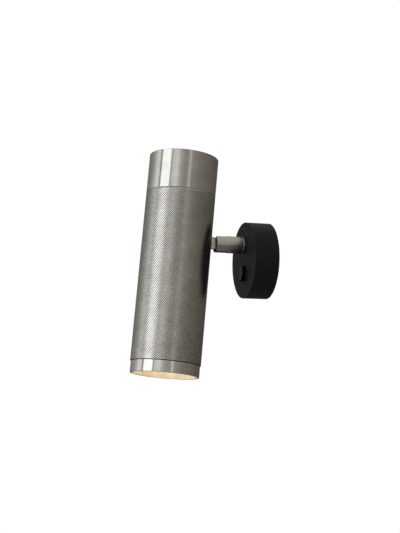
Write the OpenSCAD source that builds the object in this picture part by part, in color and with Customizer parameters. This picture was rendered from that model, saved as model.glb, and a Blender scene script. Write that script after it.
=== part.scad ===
// Wall light with a knurled tube head that tilts on a short swivelling arm.
// The wall is the plane y = 0, the light stands out of it along -Y, and +Z is up.

/* [Head] */
// Gap between the lamp and the lamp tube, which the centring ring fills
lamp_side_gap = 2.35; // [1.5:0.05:8]
// Height of the plain band, which is the skirt of the top cap
band_h = 33.5; // [20:0.5:45]
// Height of the bare ring at the mouth
ring_h = 9.9; // [6:0.1:16]
// How far the ring at the mouth stands back from the knurled surface
ring_step = 0.63; // [0.3:0.01:0.8]
// Height of the thick lip of the ring, below the end of the lamp tube
ring_lip = 3; // [2:0.1:4]
// Wall of the knurled sleeve and of the cap's skirt
sleeve_wall = 1.4; // [1.2:0.1:1.8]
// Wall of the lamp tube inside the sleeve
tube_wall = 1.2; // [0.8:0.1:1.6]
// Thickness of the disc that closes the top
cap_t = 2.5; // [1.5:0.1:4]
// Distance from the top of the cap down to the hinge
hinge_drop = 71.3; // [60:0.1:110]
// Distance from the hinge down to the top of the lampholder
shelf_drop = 21.65; // [17:0.05:60]
// Lean of the head at rest, with its top towards the wall, in degrees
tilt = 5.46; // [0:0.01:20]
// Distance from the rim of the mouth up to the face of the lamp
lamp_recess = 26; // [18:1:40]

/* [Canopy] */
// Diameter of the round canopy
canopy_d = 66.4; // [65:0.2:90]
// Depth of the canopy, out of the wall
canopy_depth = 21.4; // [20.6:0.2:30]
// Wall of the canopy
canopy_wall = 1.5; // [1:0.1:2]
// Bevel round the face of the canopy
canopy_bevel = 0.6; // [0.3:0.1:1]
// Height of the arm above the middle of the canopy
arm_up = 13.3; // [12.5:0.1:15]
// Distance of the rocker switch below the middle of the canopy
switch_down = 12; // [11.5:0.1:13]
// Thickness of the wall plate
plate_t = 2; // [1.5:0.1:2.5]
// Distance of each screw slot from the middle of the wall plate
slot_offset = 20; // [19:0.1:21]
// Width of each screw slot
slot_w = 4.5; // [4:0.1:5]
// Length of each screw slot, end to end
slot_len = 8; // [6:0.1:10]
// Diameter of the hole in the wall plate for the supply cable
cable_hole_d = 13; // [11:0.5:14]

/* [Arm] */
// Diameter of the arm
arm_d = 14.9; // [14.4:0.1:15.6]
// Length of the arm, from the face of the canopy to the ends of its ears
arm_len = 25.9; // [24:0.1:40]
// Length of the fixed collar between the canopy and the arm
collar_len = 2.3; // [1.5:0.1:4]
// Distance from the ends of the ears back to the pivot
pivot_set_back = 5.3; // [5:0.1:5.6]
// Height of the hinge tongue, which is the diameter of its round end
tongue_h = 9.8; // [9.4:0.1:10.4]
// Thickness of the hinge tongue
tongue_t = 5.6; // [5:0.1:6]
// Distance from the pivot to the surface of the tube
pivot_gap = 9.8; // [9.6:0.1:14]
// Diameter of the pivot screw
pivot_screw_d = 3; // [2.5:0.1:3.2]

/* [Switch] */
// Height of the rocker
rocker_h = 12.4; // [12:0.1:13]
// Width of the rocker
rocker_w = 7.3; // [7:0.1:8]
// Whole swing of the rocker, in degrees
rocker_swing = 12; // [8:1:14]
// How far the ends of the rocker stand out of the canopy's face at mid swing
rocker_proud = 3.5; // [3:0.1:3.8]
// Depth of the switch housing behind the canopy's face
switch_depth = 11; // [9:0.1:11.4]

/* [Lamp] */
// Diameter of the lamp at its face
lamp_d = 50; // [48:0.5:51]
// Length of the lamp without its pins
lamp_len = 50; // [46:0.5:52]
// Distance between the two pins of the lamp
pin_gap = 10; // [9:0.5:10.5]
// Height of the lampholder
holder_h = 21; // [19:0.5:22]
// Diameter of the single leads
lead_d = 1.5; // [1.2:0.1:1.6]

/* [Hidden] */
$fn = 72;

// Clearances, each written once
overrun = 1;
slip = 0.05;
thread_gap = 0.03;
running_gap = 0.05;
swivel_gap = 0.1;
open_gap = 0.3;

// Small edges
edge = 0.3;
rim_edge = 0.5;

// Heights in the head, measured from the hinge along the axis of the tube
top_z = hinge_drop;
band_z = top_z - band_h;
shelf_z = -shelf_drop;
holder_z = shelf_z - holder_h;
lamp_rear_z = holder_z - slip;
lamp_face_z = lamp_rear_z - lamp_len;
mouth_z = lamp_face_z - lamp_recess;
ring_top_z = mouth_z + ring_h;

// Radii in the head
lamp_r = lamp_d / 2;
tube_bore_r = lamp_r + lamp_side_gap;
inner_tube_r = tube_bore_r + tube_wall;
sleeve_bore_r = inner_tube_r + slip;
tube_r = sleeve_bore_r + sleeve_wall;
ring_r = tube_r - ring_step;

// Hinge
arm_r = arm_d / 2;
tongue_r = tongue_h / 2;
pivot_r = pivot_screw_d / 2;
pivot_bore_r = pivot_r + running_gap;
washer_t = 0.35;
fork_gap = tongue_t + 2 * (washer_t + 2 * running_gap);
fork_floor_gap = 0.6;
pivot_out = canopy_depth + arm_len - pivot_set_back;
fork_floor_out = pivot_out - tongue_r - fork_floor_gap;
pivot_to_axis = pivot_gap + tube_r;
pivot_head_r = 2.75;
pivot_head_h = 1.8;
pivot_head_sink = 2.2;
blind_end = 0.9;
neck_proud = 0.5;

// Leads: two pass above and below the pivot screw
lead_r = lead_d / 2;
lead_bore_gap = 0.2;
lead_bore_r = lead_r + lead_bore_gap;
lead_wall = 0.5;
lead_offset = pivot_bore_r + lead_wall + lead_bore_r;
lead_sides = 10;
bend_steps = 4;
bend_r = 1.6;

// Saddle inside the tube that carries the tongue
saddle_w = 16;
saddle_h = 24;
saddle_t = 3.2;
saddle_screw_z = 8.5;
saddle_flat_y = tube_bore_r - slip - saddle_t;
small_screw_r = 1.5;
hole_gap = 0.1;
small_hole_r = small_screw_r + hole_gap;
pan_head_r = 2.75;
pan_head_h = 2;

// Bracket and lampholder
bracket_t = 1.5;
holder_long = 26;
holder_wide = 18;
holder_screw_y = 9;
holder_sink = 6;
shelf_end = 1.5;
shelf_hole_r = 6.4;
pin_r = 1.25;
pin_head_r = 2.4;
pin_head_h = 2.2;
pin_len = 7;
pin_cavity_r = 2.8;
pin_cavity_h = 9.5;
contact_r = 2;

// Lamp
lamp_rim_h = 4;
lens_r_share = 0.9;
lens_t = 2;
lamp_base_r = 12.8;
lamp_neck_r = 15;
lamp_neck_share = 0.72;
lamp_base_share = 0.76;
ring_band_h = 6;
ring_face_t = 1.2;
ring_cover = 2.5;
ring_window_r = lamp_r - ring_cover;

// Canopy and wall plate
canopy_r = canopy_d / 2;
canopy_bore_r = canopy_r - canopy_wall;
canopy_floor_out = canopy_depth - canopy_wall;
plate_gap = 0.5;
plate_r = canopy_bore_r - plate_gap;
lug_w = 12;
lug_t = 2;
lug_len = 7.5;
lug_inset = 1.6;
lug_z = plate_r - lug_inset;
canopy_screw_out = 6;
canopy_screw_sink = 0.3;
canopy_screw_len = 6.5;
key_r = 0.8;
cable_hole_r = cable_hole_d / 2;
grommet_lip = 1.2;
grommet_wall = 1;

// Swivel behind the face of the canopy
spigot_r = 6;
spigot_lead_gap = 0.15;
spigot_bore_r = lead_offset + lead_r + spigot_lead_gap;
spigot_hole_r = spigot_r + swivel_gap;
spigot_flat = 5.2;
stop_washer_t = 1;
stop_washer_r = 8.5;
stop_tab_w = 4;
stop_tab_r = 12;
stop_peg_r = 1;
stop_peg_h = 1.4;
stop_peg_at = 10.6;
spring_r = 8.3;
spring_t = 0.6;
spring_h = 1.1;
nut_flats = 17;
nut_t = 3.5;
nut_gap = 0.05;
tail_proud = 0.9;
stop_washer_out = canopy_floor_out - swivel_gap - stop_washer_t;
spring_out = stop_washer_out - nut_gap - spring_h;
nut_out = spring_out - nut_gap - nut_t;
tail_out = nut_out - tail_proud;

// Terminal block on the wall plate, with its poles in a column
block_inset = 12.2;
block_x = block_inset - plate_r;
block_w = 10;
block_h = 11;
pole_pitch = 8;
poles = 3;
block_len = pole_pitch * poles;
barrel_r = 2.2;
barrel_bore_r = 1.1;
barrel_inset = 0.5;
barrel_rise = 5;
barrel_out = plate_t + barrel_rise;
well_r = 1.7;
clamp_screw_r = 1.4;
clamp_screw_x = 2.7;
clamp_screw_sink = 1;
block_screw_sink = 3;
block_screw_head_r = 1.9;
block_screw_r = 1.2;
block_screw_hole_r = block_screw_r + hole_gap;

// Earth point on the wall plate, above the terminal block
earth_screw_r = 2;
earth_head_r = 3.6;
earth_head_h = 2.2;
tag_r = 3.8;
tag_t = 0.8;
tag_tail_w = 3;
tag_tail_len = 5;
tag_gap = 0.7;
tag_shift = 5.5;
earth_x = block_x + tag_shift;
earth_up = block_len / 2 + tag_gap + tag_r + tag_tail_len - tag_tail_w / 2;

// Switch
switch_wall = 0.6;
rocker_side_gap = 0.15;
rocker_end_gap = 0.3;
rocker_r = rocker_h / 2;
rocker_axle_in = 1;
rocker_axle_r = 1;
rocker_under = 2.2;
rocker_dish = 0.7;
rocker_corner = 0.5;
rocker_taper = 0.3;
rocker_steps = 6;
switch_half_w = rocker_w / 2 + rocker_side_gap;
switch_half_h = rocker_r + rocker_end_gap;
switch_cut_gap = 0.1;
bezel_t = 0.35;
bezel_lip = 0.6;
switch_cavity = 4.6;
blade_w = 4.8;
blade_t = 0.8;
blade_len = 4.6;
blade_offset = 3.5;
rocker_out = canopy_depth - rocker_axle_in;
switch_floor_out = canopy_depth - switch_depth;

// Routes of the leads on the wall plate, as seen from the room: across, up, out of the wall
block_face_x = block_x + block_w / 2;
lead_in = 2.4;
lead_start_x = block_face_x - barrel_inset - lead_in;
lead_free = 2.5;
lead_free_x = block_face_x + lead_free;
blade_side = blade_t / 2 + lead_r;
blade_lead_out = switch_floor_out - blade_len / 2;
blade_grip = 1.2;
lead_end_gap = 0.4;
lead_turn = 2.2;
lead_end_out = tail_out - lead_end_gap;
lead_turn_out = lead_end_out - lead_turn;
live_up = -pole_pitch;
blade_low_up = -switch_down - blade_offset;
blade_high_up = -switch_down + blade_offset;
live_bend_share = 0.6;
live_bend_x = live_bend_share * lead_free_x;
blade_free = 2;
loop_x = 10.5;
loop_up = 4;
loop_out = 8;
arm_lead_low = arm_up - lead_offset;
arm_lead_high = arm_up + lead_offset;
neutral_bend_share = 0.7;
neutral_bend_x = neutral_bend_share * lead_free_x;
neutral_bend_up = 4;
earth_bend = 2.9;
earth_bend_x = earth_x + earth_bend;
earth_bend_up = (block_len + tag_gap) / 2;
tag_tail_up = earth_up - tag_r - tag_tail_w / 2;
tag_lead_out = plate_t + slip + tag_t + lead_r;
LIVE_ROUTE = [
    [lead_start_x, live_up, barrel_out],
    [lead_free_x, live_up, barrel_out],
    [live_bend_x, blade_low_up - blade_side, blade_lead_out],
    [blade_grip, blade_low_up - blade_side, blade_lead_out]
];
SWITCHED_ROUTE = [
    [-blade_grip, blade_high_up - blade_side, blade_lead_out],
    [blade_w / 2 + blade_free, blade_high_up - blade_side, blade_lead_out],
    [loop_x, loop_up, loop_out],
    [loop_x / 2, arm_lead_high, lead_turn_out],
    [0, arm_lead_high, lead_turn_out],
    [0, arm_lead_high, lead_end_out]
];
NEUTRAL_ROUTE = [
    [lead_start_x, 0, barrel_out],
    [lead_free_x, 0, barrel_out],
    [neutral_bend_x, neutral_bend_up, loop_out],
    [0, arm_lead_low, lead_turn_out],
    [0, arm_lead_low, lead_end_out]
];
EARTH_ROUTE = [
    [lead_start_x, pole_pitch, barrel_out],
    [lead_free_x, pole_pitch, barrel_out],
    [earth_bend_x, earth_bend_up, tag_lead_out],
    [earth_x, tag_tail_up, tag_lead_out]
];

// Routes of the leads in the head, in the head's own frame
lead_tail_back = 1.9;
lead_clear = 8;
lead_rise = 5;
lead_tail_y = pivot_to_axis + tongue_r - lead_tail_back;
lead_clear_y = saddle_flat_y - lead_clear;
lead_above = shelf_z + bracket_t + lead_rise;
lead_foot_z = holder_z + pin_cavity_h;

function unit(v) = v / norm(v);

// A route with each bend drawn as a short curve
function curved(route) = [
    for (i = [0 : len(route) - 1])
        let (
            here = route[i],
            is_end = i == 0 || i == len(route) - 1,
            back = is_end ? here : here + bend_r * unit(route[i - 1] - here),
            ahead = is_end ? here : here + bend_r * unit(route[i + 1] - here)
        )
        each is_end ? [here] : [
            for (k = [0 : bend_steps])
                let (t = k / bend_steps)
                (1 - t) * (1 - t) * back + 2 * t * (1 - t) * here + t * t * ahead
        ]
];

// One round lead along a route; across is a direction that the route never runs along
module lead(route, across) {
    path = curved(route);
    last = len(path) - 1;
    along = [for (i = [0 : last]) unit(path[min(i + 1, last)] - path[max(i - 1, 0)])];
    points = [
        for (i = [0 : last])
            let (u = unit(cross(along[i], across)), v = cross(along[i], u))
            each [
                for (k = [0 : lead_sides - 1])
                    let (a = 360 * k / lead_sides)
                    path[i] + lead_r * (cos(a) * u + sin(a) * v)
            ]
    ];
    sides = [
        for (i = [0 : last - 1])
            for (k = [0 : lead_sides - 1])
                let (n = (k + 1) % lead_sides, a = i * lead_sides, b = a + lead_sides)
                each [[a + k, b + k, b + n], [a + k, b + n, a + n]]
    ];
    first_end = [for (k = [0 : lead_sides - 1]) k];
    last_end = [for (k = [0 : lead_sides - 1]) (last + 1) * lead_sides - 1 - k];
    polyhedron(points = points, faces = concat(sides, [first_end, last_end]));
}

// Draws as seen from the room: x across, y up, z out of the wall
module off_wall() {
    rotate([90, 0, 0]) children();
}

// Draws about the arm's own axis, with z out of the wall
module on_arm() {
    off_wall() translate([0, arm_up, 0]) children();
}

// Draws about the axis of the tube, with z = 0 at the height of the hinge and the wall towards +Y
module in_head() {
    translate([0, -pivot_out, arm_up]) rotate([-tilt, 0, 0])
        translate([0, -pivot_to_axis, 0]) children();
}

// A ring from z = 0 up
module ring(outer_r, inner_r, h) {
    difference() {
        cylinder(r = outer_r, h = h);
        translate([0, 0, -overrun]) cylinder(r = inner_r, h = h + 2 * overrun);
    }
}

// A hole or a shank from y = low to y = high, in the head's frame
module along_y(r, low, high, z = 0, x = 0) {
    translate([x, high, z]) rotate([90, 0, 0]) cylinder(r = r, h = high - low);
}

// A hole or a shank from x = low to x = high
module along_x(r, low, high) {
    translate([low, 0, 0]) rotate([0, 90, 0]) cylinder(r = r, h = high - low);
}

// A box centred on x and y that stands from z = 0
module post(w, l, h) {
    translate([-w / 2, -l / 2, 0]) cube([w, l, h]);
}

// Wall plate: a disc with two slots in a column, a cable hole and two lugs for the canopy screws
module wall_plate() {
    color("silver") off_wall() difference() {
        union() {
            cylinder(r = plate_r, h = plate_t);
            for (side = [-1, 1])
                translate([0, side * (lug_z - lug_t / 2), 0]) post(lug_w, lug_t, plate_t + lug_len);
        }
        translate([0, 0, -overrun]) cylinder(r = cable_hole_r, h = plate_t + 2 * overrun);
        for (side = [-1, 1]) {
            translate([0, side * slot_offset, -overrun]) slot(plate_t + 2 * overrun);
            translate([0, side * plate_r, canopy_screw_out]) rotate([side * 90, 0, 0])
                cylinder(r = small_screw_r + thread_gap, h = 2 * lug_inset + 2 * lug_t);
        }
        translate([block_x, pole_pitch / 2, -overrun])
            cylinder(r = block_screw_r + thread_gap, h = plate_t + 2 * overrun);
        translate([earth_x, earth_up, -overrun])
            cylinder(r = earth_screw_r + thread_gap, h = plate_t + 2 * overrun);
    }
}

// One screw slot, upright, as a cutter
module slot(h) {
    reach = (slot_len - slot_w) / 2;
    post(slot_w, 2 * reach, h);
    for (side = [-1, 1]) translate([0, side * reach, 0]) cylinder(r = slot_w / 2, h = h);
}

// Rubber grommet in the cable hole, with its groove round the plate's edge
module cable_grommet() {
    color("black") off_wall() difference() {
        union() {
            cylinder(r = cable_hole_r - slip, h = plate_t + slip);
            translate([0, 0, plate_t + slip]) cylinder(r = cable_hole_r + grommet_lip, h = grommet_wall);
        }
        translate([0, 0, -overrun])
            cylinder(r = cable_hole_r - slip - grommet_wall, h = plate_t + grommet_wall + 2 * overrun);
    }
}

// Canopy: a black cup with the arm's hole, the switch's cut-out and a peg that stops the swivel
module canopy() {
    color([0.07, 0.07, 0.07]) off_wall() {
        difference() {
            union() {
                cylinder(r = canopy_r, h = canopy_depth - canopy_bevel);
                translate([0, 0, canopy_depth - canopy_bevel])
                    cylinder(r1 = canopy_r, r2 = canopy_r - canopy_bevel, h = canopy_bevel);
            }
            translate([0, 0, -overrun]) cylinder(r = canopy_bore_r, h = canopy_floor_out + overrun);
            translate([0, arm_up, canopy_floor_out - overrun])
                cylinder(r = spigot_hole_r, h = canopy_wall + 2 * overrun);
            translate([0, -switch_down, canopy_floor_out - overrun])
                post(
                    2 * (switch_half_w + switch_wall + switch_cut_gap),
                    2 * (switch_half_h + switch_wall + switch_cut_gap),
                    canopy_wall + 2 * overrun
                );
            for (side = [-1, 1])
                translate([0, side * (canopy_r + overrun), canopy_screw_out]) rotate([side * 90, 0, 0])
                    cylinder(r = small_hole_r, h = canopy_wall + 2 * overrun);
        }
        translate([0, arm_up - stop_peg_at, canopy_floor_out - stop_peg_h])
            cylinder(r = stop_peg_r, h = stop_peg_h + canopy_wall / 2);
    }
}

// Two grub screws, at the top and the bottom of the canopy, each with its hexagon socket
module canopy_screws() {
    color("dimgray") off_wall() for (side = [-1, 1])
        translate([0, side * (canopy_r - canopy_screw_sink), canopy_screw_out])
            rotate([side * 90, 0, 0]) difference() {
                cylinder(r = small_screw_r, h = canopy_screw_len);
                translate([0, 0, -overrun]) cylinder(r = key_r, h = overrun + 2 * key_r, $fn = 6);
            }
}

// Fixed collar that the arm turns against
module arm_collar() {
    color("silver") on_arm() translate([0, 0, canopy_depth])
        ring(arm_r, spigot_hole_r, collar_len);
}

// Terminal block with three poles in a column
module terminal_block() {
    color("white") off_wall() translate([block_x, 0, plate_t]) difference() {
        post(block_w, block_len, block_h);
        for (pole = [-1 : 1]) translate([0, pole * pole_pitch, 0]) {
            translate([0, 0, barrel_out - plate_t])
                along_x(barrel_r + slip, -block_w / 2 - overrun, block_w / 2 + overrun);
            for (side = [-1, 1]) translate([side * clamp_screw_x, 0, barrel_out - plate_t])
                cylinder(r = well_r, h = block_h);
        }
        translate([0, pole_pitch / 2, -overrun]) cylinder(r = block_screw_hole_r, h = block_h);
        translate([0, pole_pitch / 2, block_h - block_screw_sink])
            cylinder(r = block_screw_head_r + slip, h = block_h);
    }
}

// Brass barrels of the three poles
module terminal_barrels() {
    color("gold") off_wall() for (pole = [-1 : 1])
        translate([block_x, pole * pole_pitch, barrel_out]) difference() {
            along_x(barrel_r, barrel_inset - block_w / 2, block_w / 2 - barrel_inset);
            along_x(barrel_bore_r, -block_w / 2 - overrun, block_w / 2 + overrun);
            for (side = [-1, 1]) translate([side * clamp_screw_x, 0, 0])
                cylinder(r = clamp_screw_r + thread_gap, h = barrel_r + overrun);
        }
}

// Clamping screws, two to a pole, each with a driver slot
module terminal_screws() {
    top = plate_t + block_h - clamp_screw_sink;
    foot = barrel_out + lead_r + slip;
    color("silver") off_wall() for (pole = [-1 : 1], side = [-1, 1])
        translate([block_x + side * clamp_screw_x, pole * pole_pitch, foot]) difference() {
            cylinder(r = clamp_screw_r, h = top - foot);
            translate([0, 0, top - foot - key_r]) post(2 * well_r, key_r / 2, key_r + overrun);
        }
}

// Screw that holds the block to the wall plate
module block_screw() {
    seat = plate_t + block_h - block_screw_sink;
    color("silver") off_wall() translate([block_x, pole_pitch / 2, 0]) difference() {
        union() {
            translate([0, 0, edge]) cylinder(r = block_screw_r, h = seat - edge);
            translate([0, 0, seat]) cylinder(r = block_screw_head_r, h = key_r * 2);
        }
        translate([0, 0, seat + key_r]) post(2 * block_screw_head_r + overrun, key_r / 2, 2 * key_r);
    }
}

// Ring tag of the earth lead
module earth_tag() {
    color("silver") off_wall() translate([earth_x, earth_up, plate_t + slip]) difference() {
        union() {
            cylinder(r = tag_r, h = tag_t);
            translate([0, (tag_tail_w - tag_tail_len) / 2 - tag_r, 0])
                post(tag_tail_w, tag_tail_len, tag_t);
        }
        translate([0, 0, -overrun]) cylinder(r = earth_screw_r + slip, h = tag_t + 2 * overrun);
    }
}

// Earth screw with its pan head on the tag
module earth_screw() {
    seat = plate_t + tag_t + 2 * slip;
    color("gold") off_wall() translate([earth_x, earth_up, 0]) difference() {
        union() {
            translate([0, 0, edge]) cylinder(r = earth_screw_r, h = seat - edge);
            translate([0, 0, seat]) cylinder(r = earth_head_r, h = earth_head_h);
        }
        translate([0, 0, seat + earth_head_h - key_r]) post(2 * earth_head_r + overrun, key_r, 2 * key_r);
    }
}

// Thin bezel on the canopy's face round the rocker
module switch_bezel() {
    color([0.05, 0.05, 0.05]) off_wall() translate([0, -switch_down, canopy_depth]) difference() {
        post(
            2 * (switch_half_w + switch_wall + bezel_lip),
            2 * (switch_half_h + switch_wall + bezel_lip),
            bezel_t
        );
        translate([0, 0, -overrun]) post(2 * switch_half_w, 2 * switch_half_h, bezel_t + 2 * overrun);
    }
}

// Housing of the switch behind the face, with the bearings of the rocker's axle
module switch_housing() {
    color([0.1, 0.1, 0.1]) off_wall() translate([0, -switch_down, 0]) difference() {
        translate([0, 0, switch_floor_out])
            post(2 * (switch_half_w + switch_wall), 2 * (switch_half_h + switch_wall), switch_depth);
        translate([0, 0, canopy_depth - switch_cavity])
            post(2 * switch_half_w, 2 * switch_half_h, switch_cavity + overrun);
        translate([0, 0, rocker_out])
            along_x(rocker_axle_r + running_gap, -switch_half_w - overrun, switch_half_w + overrun);
        for (side = [-1, 1]) translate([0, side * blade_offset, switch_floor_out - overrun])
            post(blade_w + 2 * slip, blade_t + 2 * slip, overrun + 2 * blade_t);
    }
}

// The two blade terminals on the back of the switch
module switch_blades() {
    color("gold") off_wall() for (side = [-1, 1])
        translate([0, side * blade_offset - switch_down, switch_floor_out - blade_len])
            post(blade_w, blade_t, blade_len + 2 * blade_t - slip);
}

// Brown leads: block to switch, and switch to arm
module live_leads() {
    color("saddlebrown") off_wall() {
        lead(LIVE_ROUTE, [0, 1, 2]);
        lead(SWITCHED_ROUTE, [1, 0, 3]);
    }
}

// Blue lead: block to arm
module neutral_lead() {
    color("royalblue") off_wall() lead(NEUTRAL_ROUTE, [3, -1, 0]);
}

// Green and yellow lead: block to the earth tag
module earth_lead() {
    color("yellowgreen") off_wall() lead(EARTH_ROUTE, [0, 1, 4]);
}

// Rocker with a dished face and its axle, at rest with its upper half pressed in
module rocker() {
    face = rocker_proud + rocker_axle_in;
    side = face - rocker_corner;
    color([0.02, 0.02, 0.02]) off_wall()
        translate([0, -switch_down, rocker_out]) rotate([-rocker_swing / 2, 0, 0]) {
            rotate([90, 0, 90]) translate([0, 0, -rocker_w / 2]) linear_extrude(rocker_w) polygon(concat(
                [
                    [-rocker_r, side], [-rocker_r, 0], [rocker_taper - rocker_r, -rocker_under],
                    [rocker_r - rocker_taper, -rocker_under], [rocker_r, 0], [rocker_r, side]
                ],
                [for (i = [rocker_steps:-1:-rocker_steps]) let (share = i / rocker_steps)
                    [share * (rocker_r - rocker_corner), face - rocker_dish * (1 - share * share)]]
            ));
            axle = switch_half_w + switch_wall - running_gap;
            along_x(rocker_axle_r, -axle, axle);
        }
}

// Arm: a round bar, forked for the hinge at one end, with a threaded spigot at the other
module arm() {
    color("silver") on_arm() difference() {
        union() {
            translate([0, 0, canopy_depth + collar_len + swivel_gap]) {
                cylinder(r1 = arm_r - edge, r2 = arm_r, h = edge);
                translate([0, 0, edge])
                    cylinder(r = arm_r, h = arm_len - collar_len - swivel_gap - 2 * edge);
                translate([0, 0, arm_len - collar_len - swivel_gap - edge])
                    cylinder(r1 = arm_r, r2 = arm_r - edge, h = edge);
            }
            intersection() {
                translate([0, 0, tail_out])
                    cylinder(r = spigot_r, h = canopy_depth + collar_len - tail_out + edge);
                union() {
                    translate([0, 0, canopy_floor_out])
                        post(2 * arm_d, 2 * arm_d, canopy_wall + collar_len + overrun);
                    translate([0, 0, tail_out - overrun])
                        post(2 * spigot_flat, 2 * arm_d, canopy_floor_out - tail_out + 2 * overrun);
                }
            }
        }
        translate([0, 0, tail_out - overrun])
            cylinder(r = spigot_bore_r, h = fork_floor_out - tail_out + overrun);
        translate([0, 0, fork_floor_out])
            post(fork_gap, 2 * arm_d, pivot_set_back + tongue_r + fork_floor_gap + overrun);
        translate([0, 0, pivot_out]) {
            along_x(pivot_r + thread_gap, -arm_d, arm_r - blind_end);
            along_x(pivot_head_r + slip, -arm_d, pivot_head_sink - arm_r);
        }
    }
}

// Keyed washer that turns with the arm; its tab meets the peg in the canopy
module stop_washer() {
    color("silver") on_arm() translate([0, 0, stop_washer_out]) difference() {
        union() {
            cylinder(r = stop_washer_r, h = stop_washer_t);
            translate([0, stop_tab_r / 2, 0]) post(stop_tab_w, stop_tab_r, stop_washer_t);
        }
        translate([0, 0, -overrun]) intersection() {
            cylinder(r = spigot_r + slip, h = stop_washer_t + 2 * overrun);
            post(2 * (spigot_flat + slip), 2 * arm_d, stop_washer_t + 2 * overrun);
        }
    }
}

// Conical spring washer that keeps the swivel stiff
module disc_spring() {
    bore = spigot_r + slip;
    color("gray") on_arm() translate([0, 0, spring_out]) rotate_extrude() polygon([
        [bore, 0], [spring_r, spring_h - spring_t], [spring_r, spring_h], [bore, spring_t]
    ]);
}

// Hexagon nut on the spigot
module arm_nut() {
    color("silver") on_arm() translate([0, 0, nut_out]) difference() {
        cylinder(r = nut_flats / 2 / cos(30), h = nut_t, $fn = 6);
        translate([0, 0, -overrun]) cylinder(r = spigot_r + thread_gap, h = nut_t + 2 * overrun);
    }
}

// Pivot screw, from the side that faces away, with its cheese head sunk in the ear
module pivot_screw() {
    seat = pivot_head_sink - arm_r;
    color("silver") on_arm() translate([0, 0, pivot_out]) difference() {
        union() {
            along_x(pivot_r, seat, arm_r - blind_end - slip);
            along_x(pivot_head_r, seat - pivot_head_h, seat);
        }
        translate([seat - pivot_head_h - overrun, -key_r / 2, -pivot_head_r - overrun])
            cube([overrun + key_r, key_r, 2 * (pivot_head_r + overrun)]);
    }
}

// Friction washers on both sides of the tongue
module pivot_washers() {
    color("ivory") on_arm() translate([0, 0, pivot_out]) for (side = [-1, 1])
        translate([side * (fork_gap / 2 - running_gap - washer_t / 2), 0, 0]) difference() {
            along_x(tongue_r - edge, -washer_t / 2, washer_t / 2);
            along_x(pivot_bore_r, -washer_t, washer_t);
        }
}

// The two leads in the bore of the arm
module arm_leads() {
    color("ivory") on_arm() for (side = [-1, 1])
        translate([0, side * lead_offset, tail_out])
            cylinder(r = lead_r, h = fork_floor_out - tail_out - slip);
}

// Tongue with a round neck through the tube and a saddle inside it
module hinge_tongue() {
    tail_y = pivot_to_axis + tongue_r + overrun;
    neck_y = tube_r + neck_proud;
    color("silver") in_head() difference() {
        union() {
            intersection() {
                cylinder_through_saddle();
                translate([-saddle_w / 2, saddle_flat_y, -saddle_h / 2])
                    cube([saddle_w, saddle_t + slip, saddle_h]);
            }
            along_y(tongue_r, saddle_flat_y + edge, neck_y);
            translate([-tongue_t / 2, neck_y - edge, -tongue_r])
                cube([tongue_t, pivot_to_axis - neck_y + edge, tongue_h]);
            translate([0, pivot_to_axis, 0]) along_x(tongue_r, -tongue_t / 2, tongue_t / 2);
        }
        translate([0, pivot_to_axis, 0]) along_x(pivot_bore_r, -tongue_t, tongue_t);
        for (side = [-1, 1]) {
            along_y(lead_bore_r, saddle_flat_y - overrun, tail_y, side * lead_offset);
            along_y(small_hole_r, saddle_flat_y - overrun, tube_r, side * saddle_screw_z);
        }
    }
}

// The inside of the tube as a solid, for the curved back of the saddle
module cylinder_through_saddle() {
    translate([0, 0, -saddle_h]) cylinder(r = tube_bore_r - slip, h = 2 * saddle_h);
}

// Two screws that hold the bracket and the saddle to the wall of the tube
module tongue_screws() {
    seat_y = saddle_flat_y - bracket_t;
    color("silver") in_head() for (side = [-1, 1]) difference() {
        union() {
            along_y(small_screw_r, seat_y, inner_tube_r - edge, side * saddle_screw_z);
            along_y(pan_head_r, seat_y - pan_head_h, seat_y, side * saddle_screw_z);
        }
        translate([-pan_head_r, seat_y - pan_head_h - overrun, side * saddle_screw_z - key_r / 2])
            cube([2 * pan_head_r, overrun + key_r, key_r]);
    }
}

// Angle bracket: a leg on the saddle and a shelf over the lampholder
module holder_bracket() {
    leg_y = saddle_flat_y - bracket_t;
    color("silver") in_head() difference() {
        union() {
            translate([-saddle_w / 2, leg_y, shelf_z])
                cube([saddle_w, bracket_t, saddle_h / 2 - shelf_z]);
            translate([-saddle_w / 2, -holder_long / 2 - shelf_end, shelf_z])
                cube([saddle_w, leg_y + bracket_t + holder_long / 2 + shelf_end, bracket_t]);
        }
        along_y(tongue_r, leg_y - overrun, saddle_flat_y + overrun);
        for (side = [-1, 1]) {
            along_y(small_hole_r, leg_y - overrun, saddle_flat_y + overrun, side * saddle_screw_z);
            translate([0, side * holder_screw_y, shelf_z - overrun])
                cylinder(r = small_screw_r + thread_gap, h = bracket_t + 2 * overrun);
        }
        translate([0, 0, shelf_z - overrun]) cylinder(r = shelf_hole_r, h = bracket_t + 2 * overrun);
    }
}

// Ceramic lampholder for two pins, with the wells of its screws
module lamp_holder() {
    color("whitesmoke") in_head() translate([0, 0, holder_z]) difference() {
        intersection() {
            cylinder(r = holder_long / 2, h = holder_h);
            translate([0, 0, -overrun]) post(holder_wide, 2 * holder_long, holder_h + 2 * overrun);
        }
        for (side = [-1, 1]) {
            translate([side * pin_gap / 2, 0, -overrun])
                cylinder(r = pin_cavity_r, h = pin_cavity_h + overrun);
            translate([side * pin_gap / 2, 0, 0]) cylinder(r = lead_bore_r, h = holder_h + overrun);
            translate([0, side * holder_screw_y, -overrun]) {
                cylinder(r = small_hole_r, h = holder_h + 2 * overrun);
                cylinder(r = pan_head_r + slip, h = holder_sink + overrun);
            }
        }
    }
}

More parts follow.
